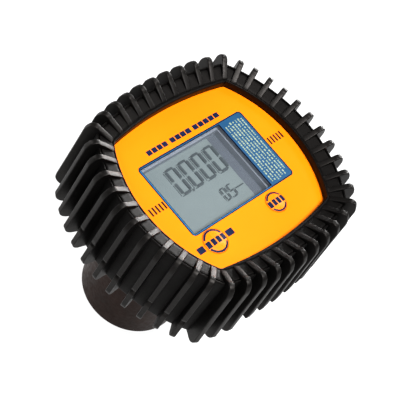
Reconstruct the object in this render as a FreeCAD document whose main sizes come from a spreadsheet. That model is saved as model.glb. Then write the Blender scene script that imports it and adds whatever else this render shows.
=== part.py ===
# In-line oval gear flow meter: display head in a finned rubber boot on a round metering body.
# Frame: +Z out of the display, +Y towards the outlet port, +X to the right of the display.
# Origin: centre of the plan outline, on the plane of the flat back face. Millimetres.
import FreeCAD, Part
import math, os

V = FreeCAD.Vector
doc = FreeCAD.newDocument("oval_gear_meter")

# ---------------------------------------------------------------- driving sizes
sheet = doc.addObject("Spreadsheet::Sheet", "Sizes")
SIZES = [
    ("rim_z", 98.0), ("recess_depth", 3.6),
    # plan outline of the boot at the foot of the fins: side arcs and top arcs
    ("side_mid", 40.9), ("side_rad", 53.5), ("top_mid", 34.9), ("top_rad", 134.4), ("corner_dist", 43.9),
    # mouth of the boot around the face
    ("mouth_side", 40.2), ("mouth_side_rad", 52.6), ("mouth_top", 33.4), ("mouth_top_rad", 150.0),
    ("wall_off", 6.5), ("cavity_off", 3.0), ("wall_back", 64.5), ("fin_back", 62.0), ("fin_thick", 2.3), ("fin_edge", 0.5),
    ("notch_half", 15.5), ("notch_top", 69.0),
    # head housing and cover
    ("house_off", 2.95), ("house_base", 62.0), ("house_rim", 90.4), ("house_wall", 2.8), ("house_floor", 3.0),
    ("cover_base", 91.0), ("cover_top", 94.0), ("label_thick", 0.4),
    # display window, centre and size
    ("win_x", -5.5), ("win_y", 1.8), ("win_wide", 43.4), ("win_high", 31.6),
    ("lens_thick", 1.0), ("cell_thick", 2.6), ("cell_top", 89.3), ("board_z", 84.0), ("board_thick", 1.6),
    # keys
    ("reset_x", -21.9), ("reset_y", -20.1), ("reset_rad", 5.1),
    ("cal_x", 12.1), ("cal_y", -20.3), ("cal_rad", 4.4), ("key_gap", 0.15), ("key_travel", 0.6),
    # metering body
    ("body_y", 4.0), ("barrel_rad", 22.0), ("barrel_top", 55.0), ("flange_top", 61.2), ("flange_half", 17.0), ("flange_rad", 25.0),
    ("port_z", 46.5), ("boss_rad", 14.0), ("port_face", 34.0), ("port_rad", 9.316), ("port_depth", 16.0), ("duct_rad", 4.0), ("duct_off", 13.5),
    ("chamber_base", 7.5), ("chamber_top", 30.0), ("gear_centres", 15.5), ("lobe_rad", 9.25), ("shaft_rad", 2.0),
    ("plate_rad", 18.95), ("plate_gap", 0.1), ("well_rad", 3.5), ("well_base", 33.2), ("well_off", 5.6), ("end_gap", 0.3),
    ("gear_pitch", 7.0), ("gear_oval", 0.17), ("gear_teeth", 26), ("tooth_depth", 1.0),
]
for i, (nm, val) in enumerate(SIZES):
    sheet.set("A%d" % (i + 1), nm)
    sheet.set("B%d" % (i + 1), str(val))
    sheet.setAlias("B%d" % (i + 1), nm)
doc.recompute()
def g(nm):
    return float(sheet.get(nm))
S = "Sizes."

# ---------------------------------------------------------------- helpers
def bind(obj, props):
    for k, e in props.items():
        obj.setExpression(k, str(e))
    return obj
def place(obj, x="0", y="0", z="0"):
    for axis, e in (("x", x), ("y", y), ("z", z)):
        obj.setExpression(".Placement.Base." + axis, "1 mm * (%s)" % e)
def cyl(nm, r, hgt, x="0", y="0", z="0", axis=None):
    o = doc.addObject("Part::Cylinder", nm)
    if axis == "y":
        o.Placement = FreeCAD.Placement(V(0, 0, 0), FreeCAD.Rotation(V(1, 0, 0), -90))
    if axis == "x":
        o.Placement = FreeCAD.Placement(V(0, 0, 0), FreeCAD.Rotation(V(0, 1, 0), 90))
    bind(o, {"Radius": "1 mm * (%s)" % r, "Height": "1 mm * (%s)" % hgt})
    place(o, x, y, z)
    return o
def box(nm, wx, wy, wz, cx="0", cy="0", z="0"):
    o = doc.addObject("Part::Box", nm)
    bind(o, {"Length": "1 mm * (%s)" % wx, "Width": "1 mm * (%s)" % wy, "Height": "1 mm * (%s)" % wz})
    place(o, "(%s) - (%s) / 2" % (cx, wx), "(%s) - (%s) / 2" % (cy, wy), z)
    return o
def cone(nm, r1, r2, hgt, x, y, z):
    o = doc.addObject("Part::Cone", nm)
    bind(o, {"Radius1": "1 mm * (%s)" % r1, "Radius2": "1 mm * (%s)" % r2, "Height": "1 mm * (%s)" % hgt})
    place(o, x, y, z)
    return o
def torus(nm, r1, r2, x, y, z):
    o = doc.addObject("Part::Torus", nm)
    bind(o, {"Radius1": "1 mm * (%s)" % r1, "Radius2": "1 mm * (%s)" % r2})
    place(o, x, y, z)
    return o
def fuse(nm, *objs):
    o = doc.addObject("Part::MultiFuse", nm)
    o.Shapes = list(objs)
    return o
def common(nm, *objs):
    o = doc.addObject("Part::MultiCommon", nm)
    o.Shapes = list(objs)
    return o
def cut(nm, base, *tools):
    o = doc.addObject("Part::Cut", nm)
    o.Base = base
    o.Tool = tools[0] if len(tools) == 1 else fuse(nm + "_tools", *tools)
    return o
def group(nm, *objs):
    o = doc.addObject("Part::Compound", nm)
    o.Links = list(objs)
    return o
# four-arc plan outline as the common part of four wide cylinders and one that trims the corners
def pillow(nm, off, z, hgt, side="Sizes.side_mid", srad="Sizes.side_rad", top="Sizes.top_mid", trad="Sizes.top_rad", corner="Sizes.corner_dist"):
    o = "(%s)" % off
    c = [cyl(nm + "_right", "%s + %s" % (srad, o), hgt, "%s - %s" % (side, srad), "0", z),
         cyl(nm + "_left", "%s + %s" % (srad, o), hgt, "%s - %s" % (srad, side), "0", z),
         cyl(nm + "_up", "%s + %s" % (trad, o), hgt, "0", "%s - %s" % (top, trad), z),
         cyl(nm + "_down", "%s + %s" % (trad, o), hgt, "0", "%s - %s" % (trad, top), z),
         cyl(nm + "_trim", "%s + %s" % (corner, o), hgt, "0", "0", z)]
    return common(nm, *c)
MOUTH = dict(side="Sizes.mouth_side", srad="Sizes.mouth_side_rad", top="Sizes.mouth_top", trad="Sizes.mouth_top_rad")

nodes = []
def node(obj, label):
    obj.Label = label
    nodes.append(obj)
    return obj

# PartDesign helpers: a body with one closed sketch on its own XY plane
def pd_body(nm, z):
    b = doc.addObject("PartDesign::Body", nm)
    b.setExpression(".Placement.Base.z", "1 mm * (%s)" % z)
    return b
def pd_plane(b, role):
    return [f for f in b.Origin.OriginFeatures if f.Role == role][0]
def pd_sketch(b, nm, role="XY_Plane"):
    sk = b.newObject("Sketcher::SketchObject", nm)
    sk.AttachmentSupport = [(pd_plane(b, role), "")]
    sk.MapMode = "FlatFace"
    return sk
import Sketcher
def sk_rect(sk, cx, cy, wx, wy):
    """centred rectangle, dimensions bound to the sheet (cx, cy, wx, wy are expressions)"""
    n = sk.GeometryCount
    p = [(-10, -8), (10, -8), (10, 8), (-10, 8)]
    for i in range(4):
        a, c = p[i], p[(i + 1) % 4]
        sk.addGeometry(Part.LineSegment(V(a[0], a[1], 0), V(c[0], c[1], 0)), False)
    for i in range(4):
        sk.addConstraint(Sketcher.Constraint("Coincident", n + i, 2, n + (i + 1) % 4, 1))
    sk.addConstraint(Sketcher.Constraint("Horizontal", n)); sk.addConstraint(Sketcher.Constraint("Horizontal", n + 2))
    sk.addConstraint(Sketcher.Constraint("Vertical", n + 1)); sk.addConstraint(Sketcher.Constraint("Vertical", n + 3))
    for kind, val, ex in (("X", -10, "(%s) - (%s) / 2" % (cx, wx)), ("Y", -8, "(%s) - (%s) / 2" % (cy, wy))):
        k = sk.addConstraint(Sketcher.Constraint("Distance" + kind, -1, 1, n, 1, float(val)))
        sk.setExpression("Constraints[%d]" % k, "1 mm * (%s)" % ex)
    k = sk.addConstraint(Sketcher.Constraint("DistanceX", n, 1, n, 2, 20.0)); sk.setExpression("Constraints[%d]" % k, "1 mm * (%s)" % wx)
    k = sk.addConstraint(Sketcher.Constraint("DistanceY", n + 1, 1, n + 1, 2, 16.0)); sk.setExpression("Constraints[%d]" % k, "1 mm * (%s)" % wy)
def sk_circle(sk, cx, cy, r):
    n = sk.GeometryCount
    sk.addGeometry(Part.Circle(V(5, 5, 0), V(0, 0, 1), 3), False)
    k = sk.addConstraint(Sketcher.Constraint("DistanceX", -1, 1, n, 3, 5.0)); sk.setExpression("Constraints[%d]" % k, "1 mm * (%s)" % cx)
    k = sk.addConstraint(Sketcher.Constraint("DistanceY", -1, 1, n, 3, 5.0)); sk.setExpression("Constraints[%d]" % k, "1 mm * (%s)" % cy)
    k = sk.addConstraint(Sketcher.Constraint("Radius", n, 3.0)); sk.setExpression("Constraints[%d]" % k, "1 mm * (%s)" % r)
def pd_pad(b, sk, nm, length):
    p = b.newObject("PartDesign::Pad", nm); p.Profile = sk; p.setExpression("Length", "1 mm * (%s)" % length); b.Tip = p
    return p
def pd_pocket(b, sk, nm, length, rev=True):
    p = b.newObject("PartDesign::Pocket", nm); p.Profile = sk; p.setExpression("Length", "1 mm * (%s)" % length); p.Reversed = rev; b.Tip = p
    return p

# ---------------------------------------------------------------- rubber boot
# The shell follows four arcs in plan and carries plates fanned round its perimeter, so its shape is
# built here from the sheet's sizes with Part's own functions.
def outline(off, z, r0=0.6):
    cs, rs = g("side_mid") - g("side_rad"), g("side_rad")
    ct, rt = g("top_mid") - g("top_rad"), g("top_rad")
    # centre of the corner arc: inside both arcs by r0
    a, b2 = rs - r0, rt - r0
    # circles: centre (cs,0) radius a and centre (0,ct) radius b2, upper right crossing
    d = math.hypot(cs, ct); ux, uy = -cs / d, ct / d
    t = (a * a - b2 * b2 + d * d) / (2 * d); hh = math.sqrt(a * a - t * t)
    mx, my = cs + ux * t, uy * t
    c1 = (mx - uy * hh, my + ux * hh); c2 = (mx + uy * hh, my - ux * hh)
    cx, cy = c1 if c1[1] > 0 and c1[0] > 0 else c2
    def unit(x, y):
        l = math.hypot(x, y); return x / l, y / l
    us, ut, r = unit(cx - cs, cy), unit(cx, cy - ct), r0 + off
    ps = (cx + us[0] * r, cy + us[1] * r); pt = (cx + ut[0] * r, cy + ut[1] * r)
    um = unit(us[0] + ut[0], us[1] + ut[1]); pm = (cx + um[0] * r, cy + um[1] * r)
    side_m, top_m = (g("side_mid") + off, 0.0), (0.0, g("top_mid") + off)
    def vv(p, sx, sy):
        return V(p[0] * sx, p[1] * sy, z)
    e = [Part.Arc(vv(ps, 1, -1), vv(side_m, 1, 1), vv(ps, 1, 1)).toShape(),
         Part.Arc(vv(ps, 1, 1), vv(pm, 1, 1), vv(pt, 1, 1)).toShape(),
         Part.Arc(vv(pt, 1, 1), vv(top_m, 1, 1), vv(pt, -1, 1)).toShape(),
         Part.Arc(vv(pt, -1, 1), vv(pm, -1, 1), vv(ps, -1, 1)).toShape(),
         Part.Arc(vv(ps, -1, 1), vv(side_m, -1, 1), vv(ps, -1, -1)).toShape(),
         Part.Arc(vv(ps, -1, -1), vv(pm, -1, -1), vv(pt, -1, -1)).toShape(),
         Part.Arc(vv(pt, -1, -1), vv(top_m, 1, -1), vv(pt, 1, -1)).toShape(),
         Part.Arc(vv(pt, 1, -1), vv(pm, 1, -1), vv(ps, 1, -1)).toShape()]
    return Part.Wire(e)
def prism(wire, hgt):
    return Part.Face(wire).extrude(V(0, 0, hgt))
rz = g("rim_z")
shell = prism(outline(g("wall_off"), g("wall_back")), rz + 1.9 - g("wall_back"))
dish = Part.makeLoft([outline(0.0, rz), outline(9.0, rz + 2.35)], True, True)
shell = shell.cut(dish)
# outer back edge of the wall, slightly tapered
def four_arc(sm, sr, tm, tr, off, z, hgt, corner=None):
    s = None
    for cx, cy, r in ((sm - sr, 0, sr), (sr - sm, 0, sr), (0, tm - tr, tr), (0, tr - tm, tr), (0, 0, corner)):
        if r is None:
            continue
        c = Part.makeCylinder(r + off, hgt, V(cx, cy, z))
        s = c if s is None else s.common(c)
    return s
cavity = four_arc(g("side_mid"), g("side_rad"), g("top_mid"), g("top_rad"), g("cavity_off"), 50, rz - g("recess_depth") + 0.05 - 50, g("corner_dist"))
shell = shell.cut(cavity)
def mouth_prism(z, hgt):
    return four_arc(g("mouth_side"), g("mouth_side_rad"), g("mouth_top"), g("mouth_top_rad"), 0.0, z, hgt)
shell = shell.cut(mouth_prism(rz - 12, 20))
# shallow crease where the wall meets the shoulder
groove = prism(outline(g("wall_off") + 2, rz - 1.2), 0.7).cut(prism(outline(g("wall_off") - 0.5, rz - 2), 3))
shell = shell.cut(groove)

# one fin plate, in its own plane: X is the distance out from the foot line, Y is depth from the rim plane
th = g("fin_thick")
pts = {"a": (-0.3, -1.6), "b": (-0.2, 0.15), "c": (6.0, 3.45), "m1": (8.3, 4.15), "d": (10.35, 2.3), "m2": (11.05, 0.6), "e": (11.25, -1.2),
       "f": (12.4, -31.0), "m3": (11.75, -34.3), "h": (8.8, -(rz - g("fin_back"))), "i": (4.7, -(rz - g("fin_back"))), "j": (4.7, -2.4)}
def P3(k):
    return V(pts[k][0], 0, pts[k][1])
fe = [Part.LineSegment(P3("a"), P3("b")).toShape(), Part.LineSegment(P3("b"), P3("c")).toShape(),
      Part.Arc(P3("c"), P3("m1"), P3("d")).toShape(), Part.Arc(P3("d"), P3("m2"), P3("e")).toShape(),
      Part.LineSegment(P3("e"), P3("f")).toShape(), Part.Arc(P3("f"), P3("m3"), P3("h")).toShape(),
      Part.LineSegment(P3("h"), P3("i")).toShape(), Part.LineSegment(P3("i"), P3("j")).toShape(), Part.LineSegment(P3("j"), P3("a")).toShape()]
plate = Part.Face(Part.Wire(fe)).extrude(V(0, th, 0))
plate.translate(V(0, -th / 2, 0))
outer = []
for ed in plate.Edges:
    bb = ed.BoundBox
    if bb.YLength < 1e-6:                       # edges lying in one of the two faces
        c = ed.CenterOfMass
        if (bb.XMax > 5.5 and c.x > 1.0 and not (bb.XLength < 1e-6 and bb.XMax < 5)) and not (abs(bb.ZMin + rz - g("fin_back")) < 1e-6 and bb.ZLength < 1e-6 and False):
            outer.append(ed)
try:
    plate = plate.makeChamfer(g("fin_edge"), outer)
except Exception as err:
    print("fin edge chamfer left out:", err)
side_y = [(0.0, 0.0), (6.1, 7.0), (12.2, 12.8), (18.1, 18.0), (23.7, 24.5), (28.3, 32.5)]
top_x = [(0.0, 90.0), (6.5, 86.0), (13.0, 82.5), (19.5, 79.5), (25.1, 69.5)]
spots = []
cs, rs, ct, rt = g("side_mid") - g("side_rad"), g("side_rad"), g("top_mid") - g("top_rad"), g("top_rad")
for y, a in side_y:
    x = cs + math.sqrt(rs * rs - y * y)
    for sx in (1, -1):
        for sy in ((1, -1) if y else (1,)):
            spots.append((sx * x, sy * y, math.degrees(math.atan2(sy * math.sin(math.radians(a)), sx * math.cos(math.radians(a))))))
for x, a in top_x:
    y = ct + math.sqrt(rt * rt - x * x)
    for sy in (1, -1):
        for sx in ((1, -1) if x else (1,)):
            spots.append((sx * x, sy * y, math.degrees(math.atan2(sy * math.sin(math.radians(a)), sx * math.cos(math.radians(a))))))
for sx in (1, -1):
    for sy in (1, -1):
        spots.append((sx * 30.8, sy * 31.3, math.degrees(math.atan2(sy * math.sin(math.radians(59)), sx * math.cos(math.radians(59))))))
fins = []
for x, y, a in spots:
    f = plate.copy()
    f.rotate(V(0, 0, 0), V(0, 0, 1), a)
    f.translate(V(x, y, rz))
    fins.append(f)
boot_shape = shell.fuse(fins)
boot_shape = boot_shape.cut(mouth_prism(rz - 2.5, 10))
nh, nt = g("notch_half"), g("notch_top")
notch = Part.makeBox(2 * nh, 140, nt - 50, V(-nh, -70, 50))
boot_shape = boot_shape.cut(notch)
if boot_shape.ShapeType == "Compound" and len(boot_shape.Solids) == 1:
    boot_shape = boot_shape.Solids[0]
boot = doc.addObject("Part::Feature", "rubber_boot")
boot.Shape = boot_shape
boot.Placement = FreeCAD.Placement()
node(boot, "rubber_boot")

# ---------------------------------------------------------------- head housing (electronics pot)
house_out = pillow("house_out", S + "house_off", S + "house_base", S + "house_rim - Sizes.house_base")
house_in = pillow("house_in", S + "house_off - Sizes.house_wall", S + "house_base + Sizes.house_floor", "60")
BAT_X, BAT_Y = "-27", "0"
bat_hole = box("bat_hole", "15.6", "35.6", "20", BAT_X, BAT_Y, S + "house_base - 5")
door_seat = box("door_seat", "19", "49", "6.5", BAT_X, BAT_Y, S + "house_base - 5")
WELL_X = "Sizes.gear_centres / 2 + Sizes.well_off"
sensor_hole = cyl("sensor_hole", S + "well_rad", "12", WELL_X, S + "body_y", S + "house_base - 5")
hs = []
HEADXY = [("13", "Sizes.body_y + 17"), ("-13", "Sizes.body_y + 17"), ("13", "Sizes.body_y - 17"), ("-13", "Sizes.body_y - 17")]
for i, (x, y) in enumerate(HEADXY):
    hs.append(cyl("head_hole%d" % i, "2.2", "12", x, y, S + "house_base - 5"))
pot = cut("pot", house_out, house_in, bat_hole, door_seat, sensor_hole, *hs)
posts = []
BRD = [("26.5", "21.5"), ("-27.6", "22.2"), ("26.5", "-21.5"), ("-27.6", "-22.2")]
DOOR = [("-27.6", "22.2"), ("-27.6", "-22.2")]
for i, (x, y) in enumerate(BRD):
    p = cyl("post%d" % i, "2.9", S + "board_z - Sizes.house_base - 2", x, y, S + "house_base + 2")
    h = cyl("post_bore%d" % i, "1.15", "30", x, y, S + "board_z - 10")
    posts.append(cut("post_cut%d" % i, p, h))
CVR = [("33.5", "23.5"), ("-33.5", "23.5"), ("33.5", "-23.5"), ("-33.5", "-23.5")]
lugs, lug_bores = [], []
for i, (x, y) in enumerate(CVR):
    lugs.append(cyl("lug%d" % i, "3.4", "12", x, y, S + "house_rim - 12"))
    lug_bores.append(cyl("lug_bore%d" % i, "1.3", "20", x, y, S + "house_rim - 10"))
lug_trim = common("lug_trim", fuse("lugs", *lugs), pillow("lug_env", S + "house_off - 1", S + "house_rim - 12", "12"))
door_taps = [cyl("door_tap%d" % i, "0.95", "14", x, y, S + "house_base - 4") for i, (x, y) in enumerate(DOOR)]
house = cut("house_fused", fuse("house_all", pot, lug_trim, *posts), *(lug_bores + door_taps))
node(house, "head_housing")

# ---------------------------------------------------------------- front cover, gasket, label
WX, WY, WW, WH = S + "win_x", S + "win_y", S + "win_wide", S + "win_high"
cov = pillow("cover_blank", S + "house_off", S + "cover_base", S + "cover_top - Sizes.cover_base")
cov_tools = [box("cover_window", WW + " + 0.4", WH + " + 0.4", "5", WX, WY, S + "cover_top - 1.8"),
             box("cover_window_low", WW + " - 1", WH + " - 1", "20", WX, WY, S + "cover_base - 5"),
             cyl("cover_reset", S + "reset_rad + Sizes.key_gap", "20", S + "reset_x", S + "reset_y", S + "cover_base - 5"),
             cyl("cover_cal", S + "cal_rad + Sizes.key_gap", "20", S + "cal_x", S + "cal_y", S + "cover_base - 5")]
for i, (x, y) in enumerate(CVR):
    cov_tools.append(cyl("cover_hole%d" % i, "1.6", "20", x, y, S + "cover_base - 5"))
    cov_tools.append(cone("cover_sink%d" % i, "1.6", "2.9", "1.35", x, y, S + "cover_top - 1.35"))
node(cut("cover_cut", cov, *cov_tools), "front_cover")
gk = cut("cover_gasket_cut", pillow("gasket_out", S + "house_off - 0.2", S + "house_rim", "0.6"),
         pillow("gasket_in", S + "house_off - Sizes.house_wall + 0.2", S + "house_rim - 2", "5"),
         *[cyl("gasket_bore%d" % i, "3.5", "5", x, y, S + "house_rim - 2") for i, (x, y) in enumerate(CVR)])
node(gk, "cover_gasket")
lab = pillow("label_blank", "1.2", S + "cover_top", S + "label_thick", corner="Sizes.corner_dist - 1.05", **MOUTH)
node(cut("label_cut", lab, box("label_window", WW, WH, "5", WX, WY, S + "cover_top - 2"),
         cyl("label_reset", S + "reset_rad + Sizes.key_gap", "5", S + "reset_x", S + "reset_y", S + "cover_top - 2"),
         cyl("label_cal", S + "cal_rad + Sizes.key_gap", "5", S + "cal_x", S + "cal_y", S + "cover_top - 2")), "face_label")

# clear window in the cover, a Part Design plate with rounded corners
lens = pd_body("lens", S + "cover_top - 1.8")
sk = pd_sketch(lens, "lens_profile"); sk_rect(sk, WX, WY, WW + " + 0.2", WH + " + 0.2")
pd_pad(lens, sk, "lens_pad", S + "lens_thick")
node(lens, "display_window")

# ---------------------------------------------------------------- display cell, frame, contact strips, board
cell = pd_body("cell", S + "cell_top - Sizes.cell_thick")
sk = pd_sketch(cell, "cell_profile"); sk_rect(sk, WX, WY, WW + " + 1.6", WH + " + 1.6")
pd_pad(cell, sk, "cell_pad", S + "cell_thick")
node(cell, "lcd_cell")
frame = pd_body("cell_frame", S + "board_z + Sizes.board_thick")
sk = pd_sketch(frame, "frame_profile"); sk_rect(sk, WX, WY, WW + " + 4.8", WH + " + 4.8")
pd_pad(frame, sk, "frame_pad", S + "cell_top - Sizes.board_z - Sizes.board_thick")
sk = pd_sketch(frame, "frame_hole"); sk_rect(sk, WX, WY, WW + " + 1.8", WH + " + 1.8")
pd_pocket(frame, sk, "frame_pocket", "12", True)
node(frame, "lcd_frame")
zt = S + "cell_top - Sizes.cell_thick - Sizes.board_z - Sizes.board_thick"
node(group("strips", box("strip_up", WW + " - 2", "2.2", zt, WX, WY + " + 14", S + "board_z + Sizes.board_thick"),
           box("strip_down", WW + " - 2", "2.2", zt, WX, WY + " - 14", S + "board_z + Sizes.board_thick")), "contact_strips")
board = pd_body("board", S + "board_z")
sk = pd_sketch(board, "board_profile"); sk_rect(sk, "0", "0", "59.6", "49")
pd_pad(board, sk, "board_pad", S + "board_thick")
sk = pd_sketch(board, "board_holes")
for x, y in BRD:
    sk_circle(sk, x, y, "1.45")
pd_pocket(board, sk, "board_pocket", "12", True)
node(board, "circuit_board")
bs = []
for i, (x, y) in enumerate(BRD):
    bs.append(fuse("board_screw%d" % i, cyl("bs_head%d" % i, "2.1", "1.4", x, y, S + "board_z + Sizes.board_thick"),
                   cyl("bs_shank%d" % i, "1.1", "8", x, y, S + "board_z + Sizes.board_thick - 7.9")))
node(group("board_screws_g", *bs), "board_screws")
node(group("chips_g", box("chip_cpu", "10", "10", "1.4", "6", "2", S + "board_z - 1.4"), box("chip_mem", "5", "4", "1.2", "18", "8", S + "board_z - 1.2"),
           cyl("chip_cap", "3", "6", "20", "-8", S + "board_z - 6")), "board_components")

# ---------------------------------------------------------------- keys and their switches
def key(nm, kx, ky, r):
    x, y, rr = S + kx, S + ky, S + r
    # dome: a shallow spherical cap on a short barrel, with a collar under the cover
    ball = doc.addObject("Part::Sphere", nm + "_ball")
    bind(ball, {"Radius": "20 mm"})
    place(ball, x, y, "Sizes.cover_top + Sizes.label_thick + 0.75 - 20")
    tall = cyl(nm + "_tall", rr, "12", x, y, S + "cover_base - 0.9")
    dome = common(nm + "_dome", tall, ball)
    collar = cyl(nm + "_collar", rr + " + 0.9", "0.8", x, y, S + "cover_base - 0.9")
    stem = cyl(nm + "_stem", "1.6", "2.0", x, y, S + "cover_base - 2.2")
    return fuse(nm + "_key", dome, collar, stem)
node(key("reset", "reset_x", "reset_y", "reset_rad"), "reset_key")
node(key("cal", "cal_x", "cal_y", "cal_rad"), "cal_key")
def switch(nm, kx, ky):
    x, y = S + kx, S + ky
    z0 = S + "board_z + Sizes.board_thick"
    return fuse(nm + "_sw", box(nm + "_base", "6", "6", "1.6", x, y, z0), cyl(nm + "_nub", "1.5", "0.8", x, y, z0 + " + 1.5"))
node(switch("reset", "reset_x", "reset_y"), "reset_switch")
node(switch("cal", "cal_x", "cal_y"), "cal_switch")

# ---------------------------------------------------------------- battery, its contacts and its door
BAT_Z = "74.5"
bat = fuse("battery_f", cyl("battery_can", "7.25", "32.2", BAT_X, "-16.6", BAT_Z, "y"), cyl("battery_pole", "2.6", "1.4", BAT_X, "15.5", BAT_Z, "y"))
node(bat, "battery_cell")
node(group("contacts_g", box("contact_plus", "8", "0.4", "8", BAT_X, "17.15", BAT_Z + " - 4"),
           box("contact_minus", "8", "0.4", "8", BAT_X, "-16.85", BAT_Z + " - 4")), "battery_contacts")
node(fuse("holder_f", box("holder_top", "12", "37.2", "1.4", BAT_X, "0", S + "board_z - 1.4"),
          box("holder_plus", "12", "1.25", "17", BAT_X, "17.975", S + "board_z - 17.5"),
          box("holder_minus", "12", "1.55", "17", BAT_X, "-17.825", S + "board_z - 17.5")), "battery_holder")
door = pd_body("door", S + "house_base")
sk = pd_sketch(door, "door_plug"); sk_rect(sk, BAT_X, BAT_Y, "18.8", "48.8")
pd_pad(door, sk, "door_plate", "1.5")
sk = pd_sketch(door, "door_bores")
for x, y in DOOR:
    sk_circle(sk, x, y, "1.3")
pd_pocket(door, sk, "door_bore_pocket", "12", True)
seal_out, seal_in = ("18.1", "38.1"), ("16.1", "36.1")
door_cut = cut("door_cut", door, cut("door_groove", box("door_groove_out", "18.1", "38.1", "2", BAT_X, BAT_Y, S + "house_base + 0.85"),
               box("door_groove_in", "16.1", "36.1", "4", BAT_X, BAT_Y, S + "house_base")))
node(door_cut, "battery_cover")
node(cut("door_seal_cut", box("door_seal_out", "18", "38", "0.62", BAT_X, BAT_Y, S + "house_base + 0.87"),
         box("door_seal_in", "16.2", "36.2", "3", BAT_X, BAT_Y, S + "house_base")), "battery_cover_seal")
ds = []
for i, (x, y) in enumerate(DOOR):
    ds.append(cut("door_screw%d" % i, fuse("ds_f%d" % i, cyl("ds_head%d" % i, "2.2", "1.2", x, y, S + "house_base - 1.2"), cyl("ds_shank%d" % i, "0.92", "8", x, y, S + "house_base - 0.2")),
                  box("ds_slot%d" % i, "3.4", "0.6", "0.7", x, y, S + "house_base - 1.3")))
node(group("door_screws_g", *ds), "battery_cover_screws")

# ---------------------------------------------------------------- screws of the head
def screws(nm, xy, head_r, head_h, shank_r, length, ztop, sunk=False):
    out = []
    for i, (x, y) in enumerate(xy):
        if sunk:
            hd = cone("%s_head%d" % (nm, i), shank_r, head_r, head_h, x, y, "%s - %s" % (ztop, head_h))
        else:
            hd = cyl("%s_head%d" % (nm, i), head_r, head_h, x, y, "%s - %s" % (ztop, head_h))
        sh = cyl("%s_shank%d" % (nm, i), shank_r, "%s - %s" % (length, head_h), x, y, "%s - %s" % (ztop, length))
        rec = cyl("%s_drive%d" % (nm, i), "(%s) * 0.45" % head_r, "(%s) * 0.6" % head_h, x, y, "%s - (%s) * 0.6" % (ztop, head_h))
        out.append(cut("%s%d" % (nm, i), fuse("%s_f%d" % (nm, i), hd, sh), rec))
    return group(nm + "_g", *out)
node(screws("cover_screw", CVR, "2.8", "1.3", "1.25", "9", S + "cover_top - 0.02", True), "cover_screws")
node(screws("head_screw", HEADXY, "3.4", "3.4", "1.95", "16", S + "house_base + Sizes.house_floor + 3.4"), "head_screws")

# ---------------------------------------------------------------- metering body
BY = S + "body_y"
barrel = cyl("barrel", S + "barrel_rad", S + "barrel_top", "0", BY, "0")
boss = cyl("boss", S + "boss_rad", "2 * Sizes.port_face", "0", "-Sizes.port_face", S + "port_z", "y")
flange = common("flange", box("flange_box", "2 * Sizes.flange_half", "2 * Sizes.flange_half + 12", S + "flange_top - 50", "0", BY, "50"),
                cyl("flange_round", S + "flange_rad", S + "flange_top - 50", "0", BY, "50"))
bevel = cone("bevel", S + "barrel_rad", S + "barrel_rad - 1.5", "1.5", "0", BY, S + "barrel_top")
solid_body = fuse("solid_body", barrel, boss, flange, bevel)
tools = [cyl("plate_seat", S + "plate_rad + Sizes.plate_gap", S + "chamber_base + 1", "0", BY, "-1")]
for sgn in ("", "-"):
    tools.append(cyl("lobe_%s" % ("b" if sgn else "a"), S + "lobe_rad", S + "chamber_top - Sizes.chamber_base + 1", "%sSizes.gear_centres / 2" % sgn, BY, S + "chamber_base - 1"))
    tools.append(cyl("shaft_seat_%s" % ("b" if sgn else "a"), S + "shaft_rad + 0.02", "8", "%sSizes.gear_centres / 2" % sgn, BY, S + "chamber_top - 5"))
# threaded ports along Y, ducts down to the chamber, windows into it
tools.append(cyl("port_out", S + "port_rad", S + "port_depth + 1", "0", S + "port_face - Sizes.port_depth", S + "port_z", "y"))
tools.append(cyl("port_in", S + "port_rad", S + "port_depth + 1", "0", "-Sizes.port_face - 1", S + "port_z", "y"))
# stepped seat for the strainer, past the end of the inlet thread
tools.append(cyl("strainer_seat", "8.6", "2.55", "0", "-Sizes.port_face + Sizes.port_depth - 1", S + "port_z", "y"))
tools.append(cyl("throat_out", "6", "6", "0", BY + " + Sizes.duct_off - 4.5", S + "port_z", "y"))
tools.append(cyl("throat_in", "6", "14", "0", BY + " - Sizes.duct_off - 9.5", S + "port_z", "y"))
for nm, s in (("out", "+"), ("in", "-")):
    tools.append(cyl("duct_" + nm, S + "duct_rad", S + "port_z - 10", "0", BY + " %s Sizes.duct_off" % s, "10"))
    tools.append(box("gate_" + nm, "7", "9", S + "chamber_top - 11", "0", BY + " %s 9" % s, "10.5"))
tools.append(cyl("sensor_well", S + "well_rad", "60", WELL_X, BY, S + "well_base"))
for i, (x, y) in enumerate(HEADXY):
    tools.append(cyl("tap_head%d" % i, "2.0", "20", x, y, S + "flange_top - 10"))
PLT = [("7.2", "Sizes.body_y + 13.6"), ("-7.2", "Sizes.body_y + 13.6"), ("7.2", "Sizes.body_y - 13.6"), ("-7.2", "Sizes.body_y - 13.6")]
for i, (x, y) in enumerate(PLT):
    tools.append(cyl("tap_plate%d" % i, "1.28", "14", x, y, "5"))
body_cut = cut("body_cut", solid_body, *tools)
node(body_cut, "meter_body")
hg = cut("head_gasket_cut", common("hg_blank", box("hg_box", "2 * Sizes.flange_half - 0.6", "2 * Sizes.flange_half + 12", "0.8", "0", BY, S + "flange_top"), cyl("hg_round", S + "flange_rad - 0.4", "0.8", "0", BY, S + "flange_top")),
         cyl("hg_well", S + "well_rad + 0.3", "4", WELL_X, BY, S + "flange_top - 1"),
         *[cyl("hg_bore%d" % i, "2.3", "4", x, y, S + "flange_top - 1") for i, (x, y) in enumerate(HEADXY)])
node(hg, "head_gasket")
node(fuse("probe_f", cyl("probe_tube", S + "well_rad - 0.2", "32.4", WELL_X, BY, S + "well_base + 0.2"),
          cyl("probe_cap", S + "well_rad + 1", "2.2", WELL_X, BY, S + "house_base + Sizes.house_floor")), "sensor_probe")
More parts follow.
